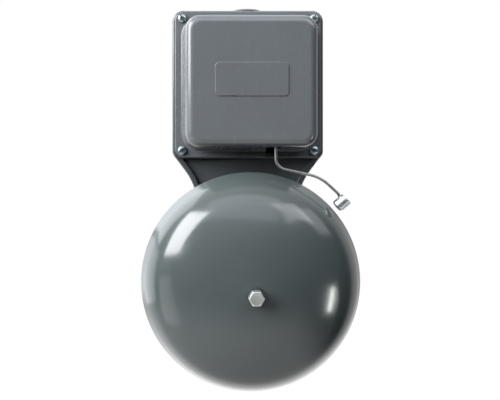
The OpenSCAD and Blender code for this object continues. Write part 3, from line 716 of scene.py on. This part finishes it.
screws = slotted(
    "Cover_screws",
    [forward(x, z, RIM + FLANGE_T) for x, z in on_square(COVER_PITCH)],
    head=6.2,
    head_h=2.4,
    shank=3.2,
    length=11.5,
    angles=(35, 120, -20, 65),
)
finish_piece(screws, "cover_screws", "screw")

# ======== gong and its fixings ========

GONG_T, GONG_LIP = 2.4, 0.45
GONG_R = gong.w / 2
BOLT_HOLE_R = 2.6
GONG_DEPTH = gong.front - gong.back
SLOPE, SHOULDER_R, CROWN_R = 24, 36, 130


def gong_profile():
    """Outer line from the crown to the rim, then the inner line back, as a closed loop."""
    wall_in = -direction(SLOPE)
    wall_up = Vector((-math.sin(math.radians(SLOPE)), math.cos(math.radians(SLOPE))))
    crown_c = Vector((0, GONG_DEPTH - CROWN_R))
    a = Vector((GONG_R, 0)) + SHOULDER_R * wall_in - crown_c
    b = a.dot(wall_up)
    c = a.dot(a) - (CROWN_R - SHOULDER_R) ** 2
    shoulder_c = Vector((GONG_R, 0)) + SHOULDER_R * wall_in + (-b + math.sqrt(b * b - c)) * wall_up
    crown_a = math.degrees(math.atan2(shoulder_c.y - crown_c.y, shoulder_c.x))

    def line(inset):
        far = math.degrees(math.acos(BOLT_HOLE_R / (CROWN_R - inset)))
        crown = arc(crown_c.x, crown_c.y, CROWN_R - inset, far, crown_a, 26)
        curve = arc(shoulder_c.x, shoulder_c.y, SHOULDER_R - inset, crown_a, SLOPE, 26)
        return crown + curve[1:]

    rim_out = Vector((GONG_R, 0))
    rim_in = rim_out + GONG_T * wall_in + GONG_T * math.tan(math.radians(SLOPE)) * wall_up
    lip = GONG_LIP
    rim = [
        tuple(rim_out + lip * 1.3 * wall_up),
        (GONG_R - 0.05, lip * 0.35),
        (GONG_R - lip * 0.7, 0.0),
        (rim_in.x + lip, 0.0),
        (rim_in.x + 0.1, lip * 0.4),
        (rim_in.x, lip * 1.3),
    ]
    return line(0) + rim + list(reversed(line(GONG_T)))


finish_piece(
    lathe("Gong", gong_profile(), forward(gong.x, GONG_Z, gong.back), 200), "gong", "gong_enamel"
)


def make_bolt():
    """Hex head with a turned chamfer and a shallow dish, on a threaded shank."""
    box = Box("gong_bolt")
    flat_r = box.w / 2 * math.cos(math.pi / 6)
    height, chamfer = 5.6, math.tan(math.radians(28))
    seat = box.front - height
    place = forward(0, GONG_Z, seat)
    shank_r, root, pitch = 2.07, 0.3, 0.7
    length = seat - (Box("gong_post").front - 10)
    angles = [2 * math.pi * k / 96 for k in range(96)]

    def hex_r(a):
        return flat_r / math.cos((a % (math.pi / 3)) - math.pi / 6)

    def round_ring(r, h):
        return [turned(place, r, a, h) for a in angles]

    def hex_ring(inset, level):
        """A hexagonal ring whose height follows from how far it is outside the flats."""
        return [turned(place, hex_r(a) - inset, a, level(hex_r(a) - flat_r)) for a in angles]

    rings = [round_ring(shank_r - 0.5, -length)]
    h = -length + 0.4
    while h < -0.9:
        rings += [round_ring(shank_r, h), round_ring(shank_r - root, h + pitch / 2)]
        h += pitch
    rings += [round_ring(shank_r, -0.5), round_ring(shank_r, 0), round_ring(flat_r - 0.15, 0)]
    rings.append(hex_ring(0.02, lambda out: 0.15 + out * chamfer))
    rings.append(hex_ring(0, lambda out: 0.28 + out * chamfer))
    rings.append(hex_ring(0, lambda out: height - (out + 0.25) * chamfer - 0.12))
    rings.append(hex_ring(0.06, lambda out: height - (out + 0.25) * chamfer - 0.03))
    top = [(0.3, 0.02), (0.5, 0), (1.15, 0), (1.45, 0.10), (2.2, 0.14), (flat_r - 0.4, 0.14)]
    rings += [round_ring(flat_r - inset, height - drop) for inset, drop in top]
    return loft("Gong_bolt", rings)


finish_piece(make_bolt(), "gong_bolt", "bolt", 26)


def washer(name, node, outer):
    box = Box(node)
    inner, t, e = BOLT_HOLE_R, box.front - box.back, 0.2
    profile = [(inner, e), (inner + e, 0), (outer - e, 0), (outer, e), (outer, t - e)]
    profile += [(outer - e * 0.3, t - e * 0.3), (outer - e, t), (inner + e, t), (inner, t - e)]
    finish_piece(lathe(name, profile, forward(0, GONG_Z, box.back), 72), node, "washer")


washer("Gong_washer", "gong_washer", 6)


def split_washer(name, node):
    """A spring lock washer: a square bar wound once, with its ends apart."""
    box = Box(node)
    inner, outer, e, lift, gap = BOLT_HOLE_R, 4.3, 0.12, 0.12, 14
    t = box.front - box.back - lift
    profile = [(inner, e), (inner + e, 0), (outer - e, 0), (outer, e)]
    profile += [(outer, t - e), (outer - e, t), (inner + e, t), (inner, t - e)]
    place, turns = forward(0, GONG_Z, box.back), 72
    rings = []
    for i in range(turns + 1):
        a = math.radians(40 + gap / 2 + (360 - gap) * i / turns)
        rings.append([turned(place, r, a, h + lift * (i / turns)) for r, h in profile])
    finish_piece(loft(name, rings), node, "washer")


split_washer("Lock_washer", "lock_washer")

# ======== striker ========

ROD_BEND_Z = -52.95
ROD_STEPS = [(0, 8, 77.4), (17.8, 28, -30.4), (7.9, 5, -21.4)]  # straight, bend radius, angle
STRIKE = math.radians(41.2)
HAMMER_D, HAMMER_L, HAMMER_FRONT, HAMMER_DOME = 8.9, 9.6, 5.6, 1.9
HAMMER_GAP = 2.3
REACH = GONG_R + HAMMER_GAP + HAMMER_FRONT
hammer_at = Vector((REACH * math.cos(STRIKE), GONG_Z + REACH * math.sin(STRIKE)))


def rod_line():
    """The wire's middle line as (x, z), from its top down to the inside of the hammer."""
    p, a = Vector((ROD_X, ROD_BEND_Z)), 0.0
    pts = [Vector((ROD_X, rod.z1)), p.copy()]
    for straight, r, turn in ROD_STEPS:
        head = Vector((math.sin(math.radians(a)), -math.cos(math.radians(a))))
        p = p + straight * head
        if straight:
            pts.append(p.copy())
        s = 1 if turn > 0 else -1
        centre = p + s * r * direction(a)
        for i in range(1, 19):
            pts.append(centre - s * r * direction(a + turn * i / 18))
        a += turn
        p = pts[-1]
    pts.append(hammer_at - (hammer_at - p).normalized() * 1.0)
    return pts


wire_line = [at(p.x, rod.depth, p.y) for p in rod_line()]
wire = tube("Striker_rod", wire_line, rod.front - rod.back, (0, 1, 0), 20)
finish_piece(wire, "striker_rod", "wire", angle=50)


def make_hammer():
    """A short cylinder with a domed striking face, along the line from the gong's middle."""
    r, back = HAMMER_D / 2, HAMMER_FRONT - HAMMER_L
    crown = HAMMER_FRONT - HAMMER_DOME
    profile = [(0, back), (r - 1.1, back), (r - 0.5, back + 0.12), (r - 0.12, back + 0.5)]
    profile += [(r, back + 1), (r, crown - 0.3)]
    for a in quarter(13)[1:-1]:
        profile.append((r * math.cos(a) ** 0.72, crown + HAMMER_DOME * math.sin(a)))
    profile.append((0, HAMMER_FRONT))
    place = Matrix.Translation((hammer_at.x, -rod.depth, hammer_at.y)) @ Matrix.Rotation(
        -math.pi / 2 - STRIKE, 4, "Y"
    )
    finish_piece(lathe("Striker_hammer", profile, place, 64), "striker_hammer", angle=40)


make_hammer()

# ======== windings, spring and leads ========


def make_winding(name, node):
    """Turns of round wire side by side, over a solid inner layer."""
    box = Box(node)
    wire_d, inner_r, end_gap, arc_points = 0.56, 5.5, 0.02, 5
    turns = int(box.w / wire_d)
    pitch = box.w / turns
    middle_r = box.h / 2 - wire_d / 2
    profile = [(inner_r, end_gap), (middle_r, end_gap)]
    for i in range(turns):
        for k in range(arc_points):
            a = math.pi * (k + 0.5) / arc_points
            along = pitch * (i + 0.5 - 0.5 * math.cos(a))
            profile.append((middle_r + wire_d / 2 * math.sin(a), along))
    profile += [(middle_r, box.w - end_gap), (inner_r, box.w - end_gap)]
    coil = lathe(name, profile, rightward(box.x0, box.z, box.depth), 56)
    finish_piece(coil, node, weighted=False)


make_winding("Upper_winding", "upper_winding")
make_winding("Lower_winding", "lower_winding")


def make_spring():
    """The return spring, built at one length; the real one shortens as the armature swings."""
    box = Box("return_spring")
    wire_d, turns, turn_points = 0.8, 6.5, 30
    r = box.w / 2 - wire_d / 2
    z0, z1 = box.z0 + wire_d / 2, box.z1 - wire_d / 2
    n = int(turns * turn_points)
    line = []
    for i in range(n + 1):
        a = 2 * math.pi * turns * i / n
        x, depth = box.x + r * math.cos(a), box.depth - r * math.sin(a)
        line.append(at(x, depth, z0 + (z1 - z0) * i / n))
    coil = tube("Return_spring", line, wire_d, (0, 0, 1), 10)
    spring = finish_piece(coil, "return_spring", angle=50)
    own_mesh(spring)


make_spring()

LEAD_D = 1.4
LEADS = [
    (
        "coil_lead",
        (1, 0.2, -0.6),
        [(-37.2, 13.6, 8), (-35, 13.9, 8.8), (-33.2, 15, 12.5), (-33, 19, 21)]
        + [(-31.5, 26, 28.5), (-27, 31.5, 31), (-21, 36, 29.5), (-18, 39.4, 25.4)],
    ),
    (
        "coil_link",
        (1, 0, 0),
        [(-16, 36.8, 5.1), (-15, 35.4, 2), (-14, 35.4, -2), (-13, 36.8, -5.1)],
    ),
    (
        "frame_lead",
        (0, 0, 1),
        [(0, 32.2, -14.5), (1, 27, -16), (5, 20, -20)]
        + [(13, 14, -23), (20, 11.4, -22.5), (24.1, 11, -21)],
    ),
    (
        "contact_lead",
        (0, 1, 0),
        [(17.7, 13.9, -11.5), (14, 14, -17), (6, 13.4, -25), (-6, 12.8, -29.5), (-20, 12.8, -31)]
        + [(-30, 13, -28.5), (-33, 13.4, -21), (-33.3, 13.6, -13), (-35, 13.6, -9), (-37.2, 13.6, -8)],
    ),
]
for node, side, route in LEADS:
    line = catmull([at(*p) for p in route], 8)
    finish_piece(tube(node.capitalize(), line, LEAD_D, side), node, angle=50)

# ======== CAD nodes that keep their shape ========

for node, obj in frame["nodes"].items():
    if obj.hide_render:
        continue
    obj.data.materials.clear()
    obj.data.materials.append(MATERIALS[SLOT_OF[node]])
    weld = obj.modifiers.new("weld", "WELD")
    weld.merge_threshold = 0.003 * MM
    bevel = obj.modifiers.new("bevel", "BEVEL")
    bevel.limit_method = "ANGLE"
    bevel.angle_limit = math.radians(35)
    bevel.width = 0.12 * MM
    bevel.segments = 2
    normals = obj.modifiers.new("normals", "WEIGHTED_NORMAL")
    normals.weight = 80

# ======== stage ========


FLOOR_Z, FLOOR_W, FLOOR_D = -0.75, 1.6, 1.1


def make_floor():
    """A pale floor below the bell, which only the camera sees."""
    mesh = bpy.data.meshes.new("floor")
    corners = ((-1, -1), (1, -1), (1, 1), (-1, 1))
    mesh.from_pydata([(x * FLOOR_W, y * FLOOR_D, FLOOR_Z) for x, y in corners], [], [(0, 1, 2, 3)])
    floor = bpy.data.objects.new("floor", mesh)
    bpy.context.scene.collection.objects.link(floor)
    floor.visible_diffuse = False
    floor.visible_glossy = False
    pale = Nodes("pale_floor", Roughness=0.8)
    tones = [(0.3, (0.72, 0.72, 0.72)), (0.7, (0.76, 0.76, 0.76))]
    mesh.materials.append(pale.done(pale.ramp(pale.noise(3, 3), tones)))


make_floor()

TARGET = at(0, 60, -90)
LIGHT_DISTANCE = 1.3


def softbox(name, azimuth, elevation, w, h, radiance, tint=(1, 1, 1)):
    """A rectangle of light aimed at the bell. Azimuth 0 is straight in front, positive to the right."""
    a, e = math.radians(azimuth), math.radians(elevation)
    way = Vector((math.sin(a) * math.cos(e), -math.cos(a) * math.cos(e), math.sin(e)))
    light = bpy.data.lights.new(name, "AREA")
    light.shape = "RECTANGLE"
    light.size, light.size_y = w, h
    light.energy = radiance * math.pi * w * h
    light.color = tint
    obj = bpy.data.objects.new(name, light)
    obj.location = TARGET + way * LIGHT_DISTANCE
    obj.rotation_euler = (-way).to_track_quat("-Z", "Y").to_euler()
    bpy.context.scene.collection.objects.link(obj)
    return obj


BLUISH = (0.92, 0.95, 1.0)
softbox("key_left", -63, 27, 0.78, 0.90, 13.0, (0.97, 0.985, 1.0))
softbox("rim_left", -124, 32, 0.95, 0.95, 3.0, BLUISH)
softbox("side_left", -116, -8, 1.00, 0.75, 1.6, BLUISH)
softbox("fill_left", -66, -22, 0.62, 0.70, 1.1).visible_diffuse = False
softbox("panel_right", 47, 41, 0.62, 0.50, 3.2, BLUISH)
softbox("panel_far", 70, 32, 0.60, 0.55, 1.5, BLUISH).visible_diffuse = False
softbox("overhead", -8, 54, 1.4, 0.9, 1.4, (0.82, 0.89, 1.0))
softbox("strip_right", 59, -20, 0.05, 0.30, 34.0, (0.95, 1.0, 0.94)).visible_diffuse = False

world = bpy.data.worlds.new("studio")
bpy.context.scene.world = world
world.use_nodes = True
tree = world.node_tree
tree.nodes.clear()


def world_node(kind, **values):
    node = tree.nodes.new(kind)
    for key, value in values.items():
        if hasattr(node, key):
            setattr(node, key, value)
        else:
            node.inputs[key].default_value = value
    return node


coords = world_node("ShaderNodeTexCoord")
split = world_node("ShaderNodeSeparateXYZ")
tree.links.new(coords.outputs["Generated"], split.inputs["Vector"])


def rise(axis, low, high, value):
    """Light that grows with one coordinate of the direction it comes from."""
    node = world_node("ShaderNodeMapRange", interpolation_type="SMOOTHSTEP")
    node.inputs["From Min"].default_value = low
    node.inputs["From Max"].default_value = high
    node.inputs["To Max"].default_value = value
    tree.links.new(split.outputs[axis], node.inputs["Value"])
    return node.outputs["Result"]


def calculate(operation, a, b):
    """Works on a socket and on another socket or a number."""
    node = world_node("ShaderNodeMath", operation=operation)
    tree.links.new(a, node.inputs[0])
    if hasattr(b, "is_linked"):
        tree.links.new(b, node.inputs[1])
    else:
        node.inputs[1].default_value = b
    return node.outputs[0]


behind = rise("Y", 0.08, 0.4, 0.72)
above = rise("Z", 0.25, 0.9, 0.9)
seen = world_node("ShaderNodeLightPath")
below = calculate("MULTIPLY", rise("Z", -0.2, -0.75, 1.25), rise("X", 0.85, 0.4, 1.0))
mirrored_below = calculate("MULTIPLY", below, seen.outputs["Is Glossy Ray"])
glow = calculate("ADD", calculate("ADD", behind, above), mirrored_below)
glow = calculate("ADD", glow, 0.012)
room = world_node("ShaderNodeBackground")
tree.links.new(glow, room.inputs["Strength"])
paper = world_node("ShaderNodeBackground", Strength=1.0)
paper.inputs["Color"].default_value = (1, 1, 1, 1)
choose = world_node("ShaderNodeMixShader")
tree.links.new(seen.outputs["Is Camera Ray"], choose.inputs["Fac"])
tree.links.new(room.outputs["Background"], choose.inputs[1])
tree.links.new(paper.outputs["Background"], choose.inputs[2])
out = world_node("ShaderNodeOutputWorld")
tree.links.new(choose.outputs["Shader"], out.inputs["Surface"])

# ======== camera ========

camera = bpy.data.objects.new("camera", bpy.data.cameras.new("camera"))
camera.data.lens = 44
camera.data.sensor_width = 36
camera.data.shift_x = 0.102
camera.data.shift_y = -0.132
camera.data.clip_start = 0.01
camera.data.clip_end = 20
camera.location = at(-35.9, RIM + 449, -36.3)
camera.rotation_euler = (math.pi / 2, 0, 0)
bpy.context.scene.collection.objects.link(camera)
bpy.context.scene.camera = camera
bpy.context.scene.view_settings.view_transform = "Standard"
